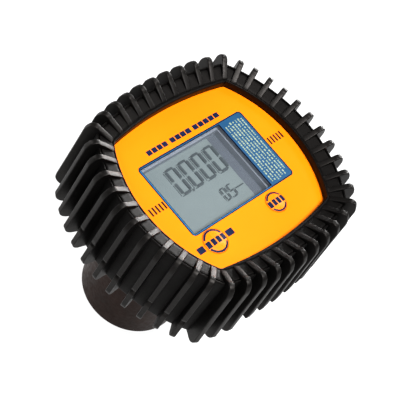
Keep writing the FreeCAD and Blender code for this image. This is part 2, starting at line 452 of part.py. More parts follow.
node(group("leads_g", cyl("lead_a", "0.6", S + "board_z - Sizes.house_base - Sizes.house_floor - 2.2", WELL_X + " - 1.4", BY, S + "house_base + Sizes.house_floor + 2.2"),
           cyl("lead_b", "0.6", S + "board_z - Sizes.house_base - Sizes.house_floor - 2.2", WELL_X + " + 1.4", BY, S + "house_base + Sizes.house_floor + 2.2")), "sensor_leads")

# ---------------------------------------------------------------- chamber cover plate at the back
plate_b = cut("plate_cut", cyl("plate_disc", S + "plate_rad", S + "chamber_base", "0", BY, "0"),
              cut("ring_groove", cyl("groove_out", S + "plate_rad + 1", "1.9", "0", BY, "3.2"), cyl("groove_in", S + "plate_rad - 1.35", "3", "0", BY, "2.5")),
              *([cyl("plate_bore%d" % i, "1.5", "12", x, y, "-1") for i, (x, y) in enumerate(PLT)] +
                [cone("plate_sink%d" % i, "2.9", "1.4", "1.6", x, y, "0") for i, (x, y) in enumerate(PLT)] +
                [cyl("plate_shaft_%s" % k, S + "shaft_rad + 0.02", "9", "%sSizes.gear_centres / 2" % s, BY, "3.5") for k, s in (("a", ""), ("b", "-"))]))
node(plate_b, "rear_cover")
ring = torus("rear_ring", S + "plate_rad - 0.625", "0.7", "0", BY, "4.15")
node(ring, "rear_cover_ring")
rs_ = []
for i, (x, y) in enumerate(PLT):
    hd = cone("rs_head%d" % i, "2.75", "1.22", "1.5", x, y, "0.05")
    sh = cyl("rs_shank%d" % i, "1.22", "11", x, y, "1.5")
    dr = cyl("rs_drive%d" % i, "1.2", "1.0", x, y, "0")
    rs_.append(cut("rear_screw%d" % i, fuse("rs_f%d" % i, hd, sh), dr))
node(group("rear_screws_g", *rs_), "rear_cover_screws")

# ---------------------------------------------------------------- oval gears
# Pitch curve p / (1 - k cos 2t) with rounded teeth evenly spaced along it: neither a Part primitive
# nor a sketch constraint describes it, so the blank is set from the sheet's sizes.
def oval_wire(major_along_x):
    p, k, n, dep = g("gear_pitch"), g("gear_oval"), int(g("gear_teeth")), g("tooth_depth")
    m = 1440
    ths = [2 * math.pi * i / m for i in range(m)]
    r = [p / (1 - k * math.cos(2 * t)) for t in ths]
    s, acc = [0.0], 0.0
    for i in range(m):
        j = (i + 1) % m
        a = (r[i] * math.cos(ths[i]), r[i] * math.sin(ths[i])); b3 = (r[j] * math.cos(ths[j]), r[j] * math.sin(ths[j]))
        acc += math.hypot(a[0] - b3[0], a[1] - b3[1]); s.append(acc)
    per = acc
    def at(u):
        # point of the toothed outline at arc-length fraction u of the pitch curve
        i = 0
        target = (u % 1.0) * per
        lo, hi = 0, m
        while hi - lo > 1:
            mid = (lo + hi) // 2
            if s[mid] <= target:
                lo = mid
            else:
                hi = mid
        t = 2 * math.pi * (lo + (target - s[lo]) / (s[lo + 1] - s[lo])) / m
        rr = p / (1 - k * math.cos(2 * t)) + dep / 2 * math.tanh(2.2 * math.cos(2 * math.pi * n * u)) / math.tanh(2.2)
        t += 0 if major_along_x else math.pi / 2
        return V(rr * math.cos(t), rr * math.sin(t), 0)
    pieces = 6 * n
    return Part.Wire([Part.Arc(at(i / pieces), at((i + 0.5) / pieces), at((i + 1.0) / pieces)).toShape() for i in range(pieces)])
gz0, gz1 = g("chamber_base") + g("end_gap"), g("chamber_top") - g("end_gap")
mag_x = [g("well_off"), -g("well_off")]
def oval_gear(cx, along_x, with_magnets):
    f = Part.Face(oval_wire(along_x))
    f.translate(V(cx, g("body_y"), gz0))
    bore = Part.Face(Part.Wire([Part.Circle(V(cx, g("body_y"), gz0), V(0, 0, 1), 3.0).toShape()]))
    f = f.cut(bore)
    s = f.extrude(V(0, 0, gz1 - gz0))
    s = s.Solids[0]
    if with_magnets:
        for dx in mag_x:
            x, y = (dx, 0) if along_x else (0, dx)
            s = s.cut(Part.makeCylinder(1.52, 3.1, V(cx + x, g("body_y") + y, gz1 - 3.05)))
    return s
ca = g("gear_centres") / 2
for nm, cx, ax_, mg in (("oval_gear_a", ca, True, True), ("oval_gear_b", -ca, False, False)):
    f = doc.addObject("Part::Feature", nm)
    f.Shape = oval_gear(cx, ax_, mg)
    f.Placement = FreeCAD.Placement()
    node(f, nm)
node(group("magnets_g", *[cyl("magnet%d" % i, "1.5", "3", "Sizes.gear_centres / 2 %s Sizes.well_off" % ("+" if dx > 0 else "-"), BY, S + "chamber_top - Sizes.end_gap - 3") for i, dx in enumerate(mag_x)]), "gear_magnets")
for k, s in (("a", ""), ("b", "-")):
    cxe = "%sSizes.gear_centres / 2" % s
    node(cut("bush_cut_" + k, cyl("bush_o_" + k, "2.99", S + "chamber_top - Sizes.chamber_base - 2 * Sizes.end_gap", cxe, BY, S + "chamber_base + Sizes.end_gap"),
             cyl("bush_i_" + k, S + "shaft_rad + 0.05", "60", cxe, BY, "-2")), "gear_bush_" + k)
    node(cyl("shaft_" + k, S + "shaft_rad", "29.3", cxe, BY, "3.55"), "gear_shaft_" + k)

# ---------------------------------------------------------------- inlet strainer
node(cut("strainer_cut", cyl("strainer_disc", "8.5", "1.2", "0", "-Sizes.port_face + Sizes.port_depth + 0.3", S + "port_z", "y"),
         *[cyl("mesh_%d_%d" % (i, j), "0.8", "4", "%g" % (i * 2.3), "-20", "Sizes.port_z + (%g)" % (j * 2.3), "y") for i in range(-3, 4) for j in range(-3, 4) if i * i + j * j <= 10]), "inlet_strainer")

# ---------------------------------------------------------------- checks and export
doc.recompute()
bad = []
for o in doc.Objects:
    st = list(o.State)
    if "Invalid" in st or "Error" in st:
        bad.append((o.Name, st))
for o in nodes:
    sh = o.Shape
    if sh.isNull() or not sh.isValid():
        bad.append((o.Label, "null or invalid"))
if bad:
    raise RuntimeError("failed objects: %s" % bad)
os.makedirs("parts", exist_ok=True)
for o in nodes:
    o.Shape.exportStep("parts/%s.step" % o.Label)
    bb = o.Shape.BoundBox
    print("%-20s solids %2d  vol %9.1f  x %6.1f..%6.1f  y %6.1f..%6.1f  z %6.1f..%6.1f" % (o.Label, len(o.Shape.Solids), o.Shape.Volume, bb.XMin, bb.XMax, bb.YMin, bb.YMax, bb.ZMin, bb.ZMax))
print("nodes", len(nodes))
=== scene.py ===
# Looks of the in-line oval gear flow meter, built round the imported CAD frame. Metres.
import bpy, bmesh, math
from mathutils import Vector, Matrix


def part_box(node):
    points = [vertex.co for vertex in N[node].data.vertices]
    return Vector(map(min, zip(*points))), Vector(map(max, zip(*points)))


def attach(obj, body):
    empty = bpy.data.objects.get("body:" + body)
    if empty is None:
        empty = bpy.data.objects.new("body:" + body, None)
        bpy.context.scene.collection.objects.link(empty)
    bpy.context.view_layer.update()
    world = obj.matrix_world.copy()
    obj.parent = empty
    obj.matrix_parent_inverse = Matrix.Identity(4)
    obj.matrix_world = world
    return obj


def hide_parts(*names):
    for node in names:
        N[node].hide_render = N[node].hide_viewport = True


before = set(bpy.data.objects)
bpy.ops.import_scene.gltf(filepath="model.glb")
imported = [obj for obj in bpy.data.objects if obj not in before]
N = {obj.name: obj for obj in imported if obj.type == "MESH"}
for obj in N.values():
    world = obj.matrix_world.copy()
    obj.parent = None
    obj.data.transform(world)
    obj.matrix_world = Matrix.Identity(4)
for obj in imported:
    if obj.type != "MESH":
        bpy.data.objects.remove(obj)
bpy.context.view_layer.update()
MM = 0.001
scene = bpy.context.scene
scene.view_settings.view_transform = "Standard"
scene.view_settings.look = "Medium High Contrast"

# ------------------------------------------------------------------ node helpers
def new_mat(name):
    m = bpy.data.materials.new(name)
    m.use_nodes = True
    nt = m.node_tree
    for n in list(nt.nodes):
        nt.nodes.remove(n)
    out = nt.nodes.new("ShaderNodeOutputMaterial")
    bs = nt.nodes.new("ShaderNodeBsdfPrincipled")
    nt.links.new(bs.outputs["BSDF"], out.inputs["Surface"])
    return m, nt, bs
def coords(nt, scale=(1, 1, 1)):
    tc = nt.nodes.new("ShaderNodeTexCoord")
    mp = nt.nodes.new("ShaderNodeMapping")
    mp.inputs["Scale"].default_value = scale
    nt.links.new(tc.outputs["Object"], mp.inputs["Vector"])
    return mp.outputs["Vector"]
def noise(nt, vec, scale, detail=4, rough=0.5, dist=0.0):
    n = nt.nodes.new("ShaderNodeTexNoise")
    n.inputs["Scale"].default_value = scale
    n.inputs["Detail"].default_value = detail
    n.inputs["Roughness"].default_value = rough
    n.inputs["Distortion"].default_value = dist
    nt.links.new(vec, n.inputs["Vector"])
    return n.outputs["Fac"]
def ramp(nt, fac, stops):
    r = nt.nodes.new("ShaderNodeValToRGB")
    e = r.color_ramp.elements
    while len(e) > 1:
        e.remove(e[-1])
    for i, (p, c) in enumerate(stops):
        c4 = (c, c, c, 1) if not hasattr(c, "__len__") else (c[0], c[1], c[2], 1)
        if i == 0:
            e[0].position, e[0].color = p, c4
        else:
            k = e.new(p)
            k.color = c4
    nt.links.new(fac, r.inputs["Fac"])
    return r.outputs["Color"]
def mathn(nt, op, a, b=None, clamp=False):
    m = nt.nodes.new("ShaderNodeMath")
    m.operation = op
    m.use_clamp = clamp
    for i, v in enumerate((a, b)):
        if v is None:
            continue
        if isinstance(v, (int, float)):
            m.inputs[i].default_value = v
        else:
            nt.links.new(v, m.inputs[i])
    return m.outputs[0]
def mix(nt, fac, a, b):
    m = nt.nodes.new("ShaderNodeMix")
    m.data_type = "RGBA"
    for sock, v in (("Factor", fac), ("A", a), ("B", b)):
        s = [i for i in m.inputs if i.name == sock and i.enabled][0]
        if isinstance(v, (int, float)):
            s.default_value = v
        elif isinstance(v, tuple):
            s.default_value = (*v, 1)
        else:
            nt.links.new(v, s)
    return [o for o in m.outputs if o.enabled][0]
def bump(nt, bs, height, strength, dist):
    b = nt.nodes.new("ShaderNodeBump")
    b.inputs["Strength"].default_value = strength
    b.inputs["Distance"].default_value = dist
    nt.links.new(height, b.inputs["Height"])
    nt.links.new(b.outputs["Normal"], bs.inputs["Normal"])
def surface(name, c1, c2, nscale, rough=(0.4, 0.6), rscale=600, bstrength=0.2, bscale=3000, bdist=0.0001, metallic=0.0, spec=0.5, aniso_scale=None, coat=0.0, coat_rough=0.1):
    m, nt, bs = new_mat(name)
    v = coords(nt, aniso_scale or (1, 1, 1))
    nt.links.new(ramp(nt, noise(nt, v, nscale, 5), [(0.3, c1), (0.7, c2)]), bs.inputs["Base Color"])
    nt.links.new(ramp(nt, noise(nt, v, rscale, 3), [(0.3, rough[0]), (0.7, rough[1])]), bs.inputs["Roughness"])
    bump(nt, bs, noise(nt, v, bscale, 3), bstrength, bdist)
    bs.inputs["Metallic"].default_value = metallic
    bs.inputs["Specular IOR Level"].default_value = spec
    bs.inputs["Coat Weight"].default_value = coat
    bs.inputs["Coat Roughness"].default_value = coat_rough
    return m
def paint(obj, mat):
    obj.data.materials.clear()
    obj.data.materials.append(mat)

# ------------------------------------------------------------------ materials
def rubber(name="boot_rubber_black", spec=0.215, lift=0.0):
    m, nt, bs = new_mat(name)
    v = coords(nt)
    big = noise(nt, v, 40, 4, 0.55)
    fine = noise(nt, v, 900, 4, 0.6)
    nt.links.new(ramp(nt, big, [(0.3, (0.0026, 0.0024, 0.0023)), (0.7, (0.0052, 0.0047, 0.0044))]), bs.inputs["Base Color"])
    r = mathn(nt, "ADD", mathn(nt, "MULTIPLY", noise(nt, v, 120, 5, 0.6), 0.16), 0.33 + lift)
    nt.links.new(mathn(nt, "ADD", r, mathn(nt, "MULTIPLY", fine, 0.10)), bs.inputs["Roughness"])
    h = mathn(nt, "ADD", mathn(nt, "MULTIPLY", fine, 0.35), mathn(nt, "MULTIPLY", noise(nt, v, 160, 3), 0.65))
    bump(nt, bs, h, 0.35, 0.00025)
    bs.inputs["Specular IOR Level"].default_value = spec
    bs.inputs["Specular Tint"].default_value = (1.0, 0.94, 0.90, 1)
    return m
M_RUB = rubber()
M_WALL = rubber("boot_rubber_wall", 0.12, 0.06)
M_BODY = surface("body_bronze_coat", (0.0075, 0.0028, 0.0018), (0.0170, 0.0070, 0.0047), 150, rough=(0.36, 0.54), bstrength=0.28, bscale=700, bdist=0.00018, metallic=0.0, spec=0.17)
[n for n in M_BODY.node_tree.nodes if n.type == "BSDF_PRINCIPLED"][0].inputs["Specular Tint"].default_value = (1.0, 0.73, 0.63, 1)
M_PLAST = surface("dark_plastic_moulded", (0.012, 0.012, 0.013), (0.022, 0.022, 0.023), 90, rough=(0.42, 0.6), bstrength=0.2)
M_SEAL = surface("seal_rubber_black", (0.008, 0.008, 0.008), (0.014, 0.014, 0.014), 200, rough=(0.55, 0.7))
M_STEEL = surface("steel_turned", (0.48, 0.48, 0.47), (0.62, 0.62, 0.61), 400, rough=(0.24, 0.4), bstrength=0.12, metallic=1.0)
M_BOARD = surface("board_mask_green", (0.01, 0.09, 0.035), (0.015, 0.13, 0.05), 300, rough=(0.25, 0.4))
M_CHIP = surface("chip_moulding", (0.012, 0.012, 0.013), (0.02, 0.02, 0.02), 300, rough=(0.45, 0.6))
M_BATT = surface("battery_sleeve", (0.03, 0.07, 0.16), (0.04, 0.09, 0.2), 100, rough=(0.25, 0.35))
M_SPRING = surface("spring_nickel", (0.55, 0.52, 0.45), (0.66, 0.62, 0.55), 400, rough=(0.25, 0.35), metallic=1.0)
M_GEAR = surface("gear_moulding", (0.03, 0.03, 0.034), (0.05, 0.05, 0.055), 200, rough=(0.4, 0.55))
M_BUSH = surface("bush_carbon", (0.05, 0.045, 0.04), (0.08, 0.07, 0.06), 300, rough=(0.3, 0.45))
M_WIRE = surface("wire_red", (0.35, 0.02, 0.02), (0.42, 0.03, 0.03), 200, rough=(0.3, 0.4))
M_INK = surface("ink_dark_blue", (0.005, 0.011, 0.036), (0.009, 0.017, 0.05), 500, rough=(0.45, 0.55), bstrength=0.05, spec=0.08)
M_TICK = surface("ink_dark", (0.012, 0.009, 0.008), (0.02, 0.014, 0.012), 500, rough=(0.45, 0.55), bstrength=0.05, spec=0.08)
# light blue for the painted highlight along the window edge
M_PAINTED_HIGHLIGHT = surface("painted_highlight_light_blue", (0.02, 0.12, 0.26), (0.026, 0.14, 0.30), 400, rough=(0.4, 0.5), bstrength=0.05, spec=0.1)
M_BLUE = surface("ink_mid_blue", (0.013, 0.064, 0.138), (0.017, 0.076, 0.158), 250, rough=(0.3, 0.4), bstrength=0.05, spec=0.15)
M_EDGE = surface("ink_teal", (0.003, 0.016, 0.030), (0.005, 0.022, 0.040), 400, rough=(0.4, 0.5), bstrength=0.05, spec=0.1)
M_PALE = surface("ink_pale", (0.21, 0.26, 0.19), (0.32, 0.37, 0.27), 800, rough=(0.4, 0.5), bstrength=0.05, spec=0.15)
def film(name="label_film_orange", lo=0.42, hi=0.52, spec=0.07):
    m, nt, bs = new_mat(name)
    v = coords(nt)
    c = ramp(nt, noise(nt, v, 26, 4), [(0.3, (0.86, 0.200, 0.002)), (0.7, (0.90, 0.216, 0.003))])
    nt.links.new(c, bs.inputs["Base Color"])
    nt.links.new(ramp(nt, noise(nt, v, 350, 4), [(0.3, lo), (0.7, hi)]), bs.inputs["Roughness"])
    bump(nt, bs, noise(nt, v, 1400, 4, 0.6), 0.12, 0.00008)
    bs.inputs["Specular IOR Level"].default_value = spec
    return m
M_FILM = film()
M_KEYCAP = film("key_film_orange", 0.24, 0.32, 0.30)
def lcd():
    m, nt, bs = new_mat("lcd_reflector")
    v = coords(nt)
    nt.links.new(ramp(nt, noise(nt, v, 60, 3), [(0.3, (0.128, 0.156, 0.158)), (0.7, (0.142, 0.172, 0.172))]), bs.inputs["Base Color"])
    nt.links.new(ramp(nt, noise(nt, v, 900, 3), [(0.3, 0.42), (0.7, 0.52)]), bs.inputs["Roughness"])
    bump(nt, bs, noise(nt, v, 2500, 3), 0.08, 0.00005)
    bs.inputs["Specular IOR Level"].default_value = 0.2
    return m
M_LCD = lcd()
def seg(name, a, c=(0.05, 0.065, 0.07)):
    m, nt, bs = new_mat(name)
    v = coords(nt)
    nt.links.new(ramp(nt, noise(nt, v, 700, 2), [(0.3, c), (0.7, tuple(x * 1.25 for x in c))]), bs.inputs["Base Color"])
    bs.inputs["Roughness"].default_value = 0.5
    bs.inputs["Alpha"].default_value = a
    return m
M_SEG = seg("lcd_segment", 0.86, (0.016, 0.026, 0.029))
M_GHOST = seg("lcd_segment_shadow", 0.34, (0.05, 0.065, 0.07))
def glass():
    m, nt, bs = new_mat("window_clear")
    v = coords(nt)
    bs.inputs["Base Color"].default_value = (0.30, 0.34, 0.38, 1)
    nt.links.new(ramp(nt, noise(nt, v, 500, 3), [(0.3, 0.05), (0.7, 0.10)]), bs.inputs["Roughness"])
    bs.inputs["Specular IOR Level"].default_value = 1.0
    bs.inputs["Alpha"].default_value = 0.06
    return m
M_GLASS = glass()
M_SLEEVE = surface("window_sleeve_grey", (0.16, 0.18, 0.21), (0.19, 0.21, 0.25), 100, rough=(0.45, 0.6))

assign = {"rubber_boot": M_RUB, "head_housing": M_PLAST, "front_cover": M_SLEEVE, "cover_gasket": M_SEAL, "face_label": M_FILM, "display_window": M_GLASS, "lcd_cell": M_LCD,
          "lcd_frame": M_PLAST, "contact_strips": M_SEAL, "circuit_board": M_BOARD, "board_screws": M_STEEL, "board_components": M_CHIP, "reset_key": M_KEYCAP, "cal_key": M_KEYCAP,
          "reset_switch": M_CHIP, "cal_switch": M_CHIP, "battery_cell": M_BATT, "battery_contacts": M_SPRING, "battery_holder": M_PLAST, "battery_cover": M_PLAST,
          "battery_cover_seal": M_SEAL, "battery_cover_screws": M_STEEL, "cover_screws": M_STEEL, "head_screws": M_STEEL, "meter_body": M_BODY, "head_gasket": M_SEAL,
          "sensor_probe": M_STEEL, "sensor_leads": M_WIRE, "rear_cover": M_BODY, "rear_cover_ring": M_SEAL, "rear_cover_screws": M_STEEL, "oval_gear_a": M_GEAR, "oval_gear_b": M_GEAR,
          "gear_magnets": M_STEEL, "gear_bush_a": M_BUSH, "gear_bush_b": M_BUSH, "gear_shaft_a": M_STEEL, "gear_shaft_b": M_STEEL, "inlet_strainer": M_STEEL}
for n, o in N.items():
    paint(o, assign[n])

# ------------------------------------------------------------------ rubber boot, modelled finer than the CAD solid
RIM = 98.0
S_MID, S_RAD, T_MID, T_RAD, RC = 40.9, 53.5, 34.9, 134.4, 0.6
MOUTH = ((40.2 - 52.6, 0, 52.6), (52.6 - 40.2, 0, 52.6), (0, 33.4 - 150.0, 150.0), (0, 150.0 - 33.4, 150.0))
def stations(n_side=72, n_top=72, n_corner=10):
    """(point, outward normal) round the outline at the foot of the fins, counter-clockwise from the right"""
    cs, ct = S_MID - S_RAD, T_MID - T_RAD
    a, b = S_RAD - RC, T_RAD - RC
    d = math.hypot(cs, ct)
    ux, uy = -cs / d, ct / d
    t = (a * a - b * b + d * d) / (2 * d)
    h = math.sqrt(a * a - t * t)
    c = [(cs + ux * t - uy * h * k, uy * t + ux * h * k) for k in (1, -1)]
    cx, cy = [q for q in c if q[0] > 0 and q[1] > 0][0]
    ps = math.atan2(cy, cx - cs)
    pt = math.atan2(cy - ct, cx)
    quad = []
    for i in range(n_side // 2 + 1):
        f = ps * i / (n_side // 2)
        quad.append(((cs + S_RAD * math.cos(f), S_RAD * math.sin(f)), f))
    for i in range(1, n_corner):
        f = ps + (pt - ps) * i / n_corner
        quad.append(((cx + RC * math.cos(f), cy + RC * math.sin(f)), f))
    for i in range(n_top // 2 + 1):
        f = pt + (math.pi / 2 - pt) * i / (n_top // 2)
        quad.append(((T_RAD * math.cos(f), ct + T_RAD * math.sin(f)), f))
    q1 = quad
    q2 = [((-x, y), math.pi - f) for (x, y), f in reversed(quad[:-1])]
    q3 = [((-x, -y), math.pi + f) for (x, y), f in quad[1:]]
    q4 = [((x, -y), -f) for (x, y), f in reversed(quad[1:-1])]
    return [(Vector(p), Vector((math.cos(f), math.sin(f)))) for p, f in q1 + q2 + q3 + q4]
def mouth_gap(p, n):
    lo_, hi_ = 0.0, 8.0
    for _ in range(40):
        m = (lo_ + hi_) / 2
        q = p - n * m
        if all(math.hypot(q.x - x, q.y - y) < r for x, y, r in MOUTH):
            hi_ = m
        else:
            lo_ = m
    return hi_
ST = stations()
def shell_piece():
    bm = bmesh.new()
    rows = []
    for p, n in ST:
        m = mouth_gap(p, n)
        q = (p + n * 0).y
        back = -34.6
        if abs(p.x + n.x * 6.5) < 15.5:
            back = -29.0 + 0.0
        e = min(1.0, (m - 0.42) / 0.6)
        prof = [(3.05, -3.6), (-m, -3.55), (-m, -0.6), (-m + 0.06 * e, -0.3), (-m + 0.22 * e, -0.08), (-m + 0.5 * e, 0.0), (-0.42, 0.0), (-0.22, -0.05), (-0.12, -0.22), (0.0, -0.36), (0.14, -0.22), (0.26, 0.0), (0.4, 0.09)]
        for k in range(1, 7):
            o = 0.4 + 4.75 * k / 6
            prof.append((o, 0.09 + 1.22 * k / 6))
        prof += [(5.24, 1.28), (5.32, 1.1), (5.38, 0.75), (5.55, 0.62), (5.7, 0.75), (5.76, 1.2), (5.84, 1.5), (5.98, 1.64), (6.18, 1.62), (6.38, 1.45), (6.5, 1.15), (6.54, 0.7)]
        for k in range(1, 9):
            prof.append((6.54, 0.7 + (back + 0.6 - 0.7) * k / 8))
        prof += [(6.44, back + 0.25), (6.2, back), (3.6, back), (3.2, back + 0.1), (3.05, back + 0.4), (3.05, back + 8)]
        rows.append([bm.verts.new(((p.x + n.x * o) * MM, (p.y + n.y * o) * MM, (RIM + z) * MM)) for o, z in prof])
    k = len(rows[0])
    for i in range(len(rows)):
        a, b = rows[i], rows[(i + 1) % len(rows)]
        for j in range(k):
            f = bm.faces.new((a[j], b[j], b[(j + 1) % k], a[(j + 1) % k]))
            f.smooth = True
    bmesh.ops.recalc_face_normals(bm, faces=bm.faces[:])
    me = bpy.data.meshes.new("boot_shell")
    bm.to_mesh(me); bm.free()
    o = bpy.data.objects.new("boot_shell", me)
    scene.collection.objects.link(o)
    return o
import random as _r
def arc_pts(a, m, b, n):
    """n+1 points on the circle through a, m and b"""
    ax, ay, bx, by, cx, cy = *a, *m, *b
    d = 2 * (ax * (by - cy) + bx * (cy - ay) + cx * (ay - by))
    ux = ((ax * ax + ay * ay) * (by - cy) + (bx * bx + by * by) * (cy - ay) + (cx * cx + cy * cy) * (ay - by)) / d
    uy = ((ax * ax + ay * ay) * (cx - bx) + (bx * bx + by * by) * (ax - cx) + (cx * cx + cy * cy) * (bx - ax)) / d
    r = math.hypot(ax - ux, ay - uy)
    t0, t1, tm = (math.atan2(q[1] - uy, q[0] - ux) for q in (a, b, m))
    while tm > t0:
        tm -= 2 * math.pi
    while t1 > tm:
        t1 -= 2 * math.pi
    return [(ux + r * math.cos(t0 + (t1 - t0) * i / n), uy + r * math.sin(t0 + (t1 - t0) * i / n)) for i in range(n + 1)]
def fin_profile(back, cut, nick=None):
    """loop of (out, z) clockwise from the foot of the ramp; z from the rim plane"""
    pts = [(-0.22, -0.6), (-0.2, -0.1), (-0.05, 0.2)]
    for k in range(1, 9):
        f = k / 9
        pts.append((-0.05 + 5.85 * f, 0.2 + 3.1 * f + 0.10 * math.sin(math.pi * f)))
    pts += arc_pts((5.85, 3.3), (8.3, 4.12), (10.35, 2.3), 10)
    pts += arc_pts((10.35, 2.3), (11.02, 0.7), (11.25, -1.2), 5)[1:]
    n = 14
    for k in range(1, n + 1):
        f = k / n
        z = -1.2 + (back + 4.6 + 1.2) * f
        pts.append((11.25 + 1.06 * f ** 1.1, z))
    if nick is not None:
        far = [q for q in pts[-n:]]
        del pts[-n:]
        far = [q for q in far if abs(q[1] - nick) > 1.1]
        edge = lambda z: 11.25 + 1.06 * ((z + 1.2) / (back + 4.6 + 1.2)) ** 1.1
        cutq = [(edge(nick + 0.75), nick + 0.75), (edge(nick) - 0.62, nick + 0.42), (edge(nick) - 0.75, nick), (edge(nick) - 0.55, nick - 0.4), (edge(nick - 0.7), nick - 0.7)]
        pts += sorted(far + cutq, key=lambda q: -q[1])
    if cut:
        pts += [(12.24, back + 2.0), (12.15, back + 0.5), (11.9, back + 0.1), (11.4, back), (5.0, back)]
    else:
        e = pts[-1]
        pts += arc_pts(e, (11.75, back + 1.75), (8.9, back), 9)[1:]
        pts += [(7.5, back), (5.0, back)]
    pts += [(5.0, -10), (5.0, -3.0)]
    return pts
def fins_piece():
    cs, ct = S_MID - S_RAD, T_MID - T_RAD
    spots = []
    for y, a in ((0.0, 0.0), (6.1, 7.0), (12.2, 12.8), (18.1, 18.0), (23.7, 24.5), (28.3, 32.5)):
        x = cs + math.sqrt(S_RAD ** 2 - y * y)
        for sx in (1, -1):
            for sy in ((1, -1) if y else (1,)):
                spots.append((sx * x, sy * y, math.atan2(sy * math.sin(math.radians(a)), sx * math.cos(math.radians(a)))))
    for x, a in ((0.0, 90.0), (6.5, 86.0), (13.0, 82.5), (19.5, 79.5), (25.1, 69.5)):
        y = ct + math.sqrt(T_RAD ** 2 - x * x)
        for sy in (1, -1):
            for sx in ((1, -1) if x else (1,)):
                spots.append((sx * x, sy * y, math.atan2(sy * math.sin(math.radians(a)), sx * math.cos(math.radians(a)))))
    for sx in (1, -1):
        for sy in (1, -1):
            spots.append((sx * 30.8, sy * 31.3, math.atan2(sy * math.sin(math.radians(59)), sx * math.cos(math.radians(59)))))
    rn = _r.Random(11)
    bm = bmesh.new()
    RR, K = 0.36, 4
    for x, y, a in spots:
        cut = abs(x) < 15 and abs(y) > 20
        back = -29.0 if cut else -36.0 + 0.0
        nick = -22.0 + rn.uniform(-0.8, 0.8) if (x < -31 and y < 14 and y > -30) else None
        prof = fin_profile(back + rn.uniform(0, 0.25), cut, nick)
        n = len(prof)
        # outward normals of the loop
        nor = []
        for i in range(n):
            p0, p1 = prof[i - 1], prof[(i + 1) % n]
            tx, ty = p1[0] - p0[0], p1[1] - p0[1]
            l = math.hypot(tx, ty) or 1
            nor.append((ty / l, -tx / l))
        area2 = sum(prof[i][0] * prof[(i + 1) % n][1] - prof[(i + 1) % n][0] * prof[i][1] for i in range(n))
        if area2 < 0:
            nor = [(-u, -v) for u, v in nor]
        half = 1.15 * (1 + rn.uniform(-0.025, 0.025))
        lean = rn.uniform(-0.006, 0.006)
        bend = rn.uniform(-0.12, 0.12)
        rings = []
        layers = [(half - RR + RR * math.sin(math.pi / 2 * (1 - k / K)), RR * (1 - math.cos(math.pi / 2 * (1 - k / K)))) for k in range(K + 1)]
        layers += [(-t, d) for t, d in reversed(layers)]
        ca, sa = math.cos(a), math.sin(a)
        for t, d in layers:
            ring = []
            for (o, z), (nx, nz) in zip(prof, nor):
                keep = 1.0 if o > 5.01 or z > -1 else 0.0
                oo, zz = o - nx * d * keep, z - nz * d * keep
                tt = t * (1.06 - 0.011 * max(0.0, oo))
                tt += lean * (zz) + bend * max(0.0, (oo - 6.0) / 6.0) ** 2
                ring.append(bm.verts.new(((x + ca * oo - sa * tt) * MM, (y + sa * oo + ca * tt) * MM, (RIM + zz) * MM)))
            rings.append(ring)
        for r0, r1 in zip(rings, rings[1:]):
            for i in range(n):
                f = bm.faces.new((r0[i], r0[(i + 1) % n], r1[(i + 1) % n], r1[i]))
                f.smooth = True
        for ring, rev in ((rings[0], True), (rings[-1], False)):
            f = bm.faces.new(list(reversed(ring)) if rev else ring)
            f.smooth = False
    bmesh.ops.recalc_face_normals(bm, faces=bm.faces[:])
    me = bpy.data.meshes.new("boot_fins")
    bm.to_mesh(me); bm.free()
    o = bpy.data.objects.new("boot_fins", me)
    scene.collection.objects.link(o)
    return o
boot_shell, boot_fins = shell_piece(), fins_piece()
for o in (boot_shell, boot_fins):
    paint(o, M_RUB)
    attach(o, "meter")
paint(boot_shell, M_WALL)
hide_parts("rubber_boot")

# ------------------------------------------------------------------ flat print pieces, and painted light on the face
def flat_piece(name, polys, z, mat, body="meter", thick=0.04):
    """polys: list of (outer loop, [holes]) in mm in the plane of the face; a thin flat layer for print and painted
    light, with its top at z (mm)
    """
    cu = bpy.data.curves.new(name, "CURVE")
    cu.dimensions = "2D"
    cu.fill_mode = "BOTH"
    for loop in polys:
        sp = cu.splines.new("POLY")
        sp.points.add(len(loop) - 1)
        for p, (x, y) in zip(sp.points, loop):
            p.co = (x * MM, y * MM, 0, 1)
        sp.use_cyclic_u = True
    cu.extrude = thick * MM / 2
    tmp = bpy.data.objects.new(name + "_c", cu)
    scene.collection.objects.link(tmp)
    bpy.context.view_layer.update()
    me = bpy.data.meshes.new_from_object(tmp.evaluated_get(bpy.context.evaluated_depsgraph_get()))
    bpy.data.objects.remove(tmp)
    me.name = name
    me.transform(Matrix.Translation((0, 0, (z - thick / 2) * MM)))
    o = bpy.data.objects.new(name, me)
    scene.collection.objects.link(o)
    paint(o, mat)
    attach(o, body)
    return o
def rrect(x0, y0, x1, y1, r, n=8):
    out = []
    for cx, cy, a0 in ((x1 - r, y1 - r, 0), (x0 + r, y1 - r, 90), (x0 + r, y0 + r, 180), (x1 - r, y0 + r, 270)):
        for i in range(n + 1):
            a = math.radians(a0 + 90 * i / n)
            out.append((cx + r * math.cos(a), cy + r * math.sin(a)))
    return out
def arc_band(cx, cy, r0, r1, a0, a1, n=40):
    A = [math.radians(a0 + (a1 - a0) * i / n) for i in range(n + 1)]
    return [(cx + r1 * math.cos(a), cy + r1 * math.sin(a)) for a in A] + [(cx + r0 * math.cos(a), cy + r0 * math.sin(a)) for a in reversed(A)]
LZ = 94.4          # top of the film
wlo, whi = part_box("display_window")
WX0, WX1, WY0, WY1 = -27.2, 16.2, -14.0, 17.6
# blue panel round the window
flat_piece("panel_blue", [rrect(-27.66, -14.26, 28.26, 17.96, 1.4), rrect(WX0 - 0.02, WY0 - 0.02, WX1 + 0.02, WY1 + 0.02, 0.5)], LZ + 0.03, M_BLUE)
flat_piece("panel_outline", [rrect(-28.15, -14.75, 28.75, 18.45, 1.7), rrect(-27.65, -14.25, 28.25, 17.95, 1.4)], LZ + 0.035, M_EDGE)
